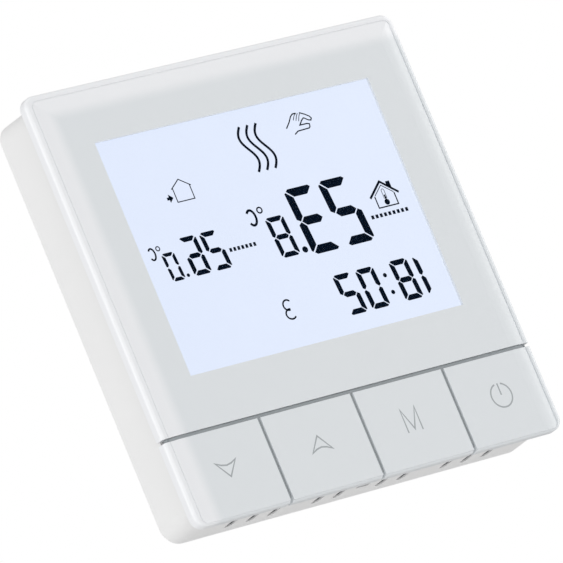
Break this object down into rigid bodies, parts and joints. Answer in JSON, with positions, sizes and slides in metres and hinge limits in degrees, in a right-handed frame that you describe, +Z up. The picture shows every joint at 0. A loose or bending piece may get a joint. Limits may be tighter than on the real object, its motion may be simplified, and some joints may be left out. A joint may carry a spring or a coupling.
{
  "type": "wall thermostat",
  "caption": "Square wall thermostat with a large lit display over a row of press keys, a pull-off front unit and a power box that sits in the wall.",
  "frame": {"origin": "centre of the wall screw pattern, on the wall plane", "axes": "+X to the right seen from the room, +Y into the wall, +Z up"},
  "size_m": [0.086, 0.0333, 0.086],
  "materials": {
    "black_plastic": "moulded",
    "box_plastic": "flame-retardant plastic",
    "brass": "plated",
    "capacitor_sleeve": "shrink sleeve",
    "carrier_plastic": "moulded",
    "cell_steel": "polished",
    "chip_resin": "moulded",
    "circuit_board": "solder mask",
    "clear_window": "clear, polished",
    "contact_rubber": "matte",
    "fuse_case": "moulded",
    "holder_plastic": "moulded",
    "lcd_glass": "backlit display",
    "led_case": "moulded",
    "light_guide": "clear acrylic",
    "relay_case": "moulded",
    "seal_rubber": "matte",
    "sensor_bead": "dipped",
    "steel": "zinc plated",
    "terminal_plastic": "moulded",
    "transformer_tape": "wound tape",
    "varistor_coat": "dipped",
    "white_casing": "fine matte",
    "white_film": "white film",
    "white_front": "satin gloss"
  },
  "bodies": {
    "base_unit": {"base_casing": "white_casing", "mounting_plate": "steel", "rear_box": "box_plastic", "box_screws": "steel", "power_board": "circuit_board", "relay": "relay_case", "power_transformer": "transformer_tape", "smoothing_capacitor": "capacitor_sleeve", "varistor": "varistor_coat", "fuse": "fuse_case", "terminal_block": "terminal_plastic", "terminal_clamps": "brass", "terminal_screws": "steel", "board_socket": "black_plastic"},
    "front_unit": {"front_frame": "white_front", "display_window": "clear_window", "lcd_panel": "lcd_glass", "light_guide": "light_guide", "reflector_sheet": "white_film", "backlight_leds": "led_case", "lcd_holder": "holder_plastic", "connector_strip": "contact_rubber", "main_board": "circuit_board", "board_screws": "steel", "key_carrier": "carrier_plastic", "key_seal": "seal_rubber", "controller_chip": "chip_resin", "backup_cell": "cell_steel", "cell_clip": "steel", "board_header": "black_plastic", "temperature_sensor": "sensor_bead", "switch_body_down": "black_plastic", "switch_body_up": "black_plastic", "switch_body_menu": "black_plastic", "switch_body_power": "black_plastic"},
    "down_key": {"key_down": "white_front"},
    "down_plunger": {"switch_plunger_down": "black_plastic"},
    "up_key": {"key_up": "white_front"},
    "up_plunger": {"switch_plunger_up": "black_plastic"},
    "menu_key": {"key_menu": "white_front"},
    "menu_plunger": {"switch_plunger_menu": "black_plastic"},
    "power_key": {"key_power": "white_front"},
    "power_plunger": {"switch_plunger_power": "black_plastic"}
  },
  "joints": [
    {"name": "front_unit_pull", "type": "slide", "parent": "base_unit", "child": "front_unit", "axis": [0, -1, 0], "range_m": [0, 0.012]},
    {"name": "down_key_press", "type": "slide", "parent": "front_unit", "child": "down_key", "axis": [0, 1, 0], "range_m": [0, 0.0003], "stiffness_N_per_m": 1200, "springref_m": -0.0004},
    {"name": "down_plunger_press", "type": "slide", "parent": "front_unit", "child": "down_plunger", "axis": [0, 1, 0], "range_m": [0, 0.0003]},
    {"name": "up_key_press", "type": "slide", "parent": "front_unit", "child": "up_key", "axis": [0, 1, 0], "range_m": [0, 0.0003], "stiffness_N_per_m": 1200, "springref_m": -0.0004},
    {"name": "up_plunger_press", "type": "slide", "parent": "front_unit", "child": "up_plunger", "axis": [0, 1, 0], "range_m": [0, 0.0003]},
    {"name": "menu_key_press", "type": "slide", "parent": "front_unit", "child": "menu_key", "axis": [0, 1, 0], "range_m": [0, 0.0003], "stiffness_N_per_m": 1200, "springref_m": -0.0004},
    {"name": "menu_plunger_press", "type": "slide", "parent": "front_unit", "child": "menu_plunger", "axis": [0, 1, 0], "range_m": [0, 0.0003]},
    {"name": "power_key_press", "type": "slide", "parent": "front_unit", "child": "power_key", "axis": [0, 1, 0], "range_m": [0, 0.0003], "stiffness_N_per_m": 1200, "springref_m": -0.0004},
    {"name": "power_plunger_press", "type": "slide", "parent": "front_unit", "child": "power_plunger", "axis": [0, 1, 0], "range_m": [0, 0.0003]}
  ],
  "couplings": [
    {"joint": "down_plunger_press", "follows": "down_key_press", "ratio": 1},
    {"joint": "up_plunger_press", "follows": "up_key_press", "ratio": 1},
    {"joint": "menu_plunger_press", "follows": "menu_key_press", "ratio": 1},
    {"joint": "power_plunger_press", "follows": "power_key_press", "ratio": 1}
  ]
}
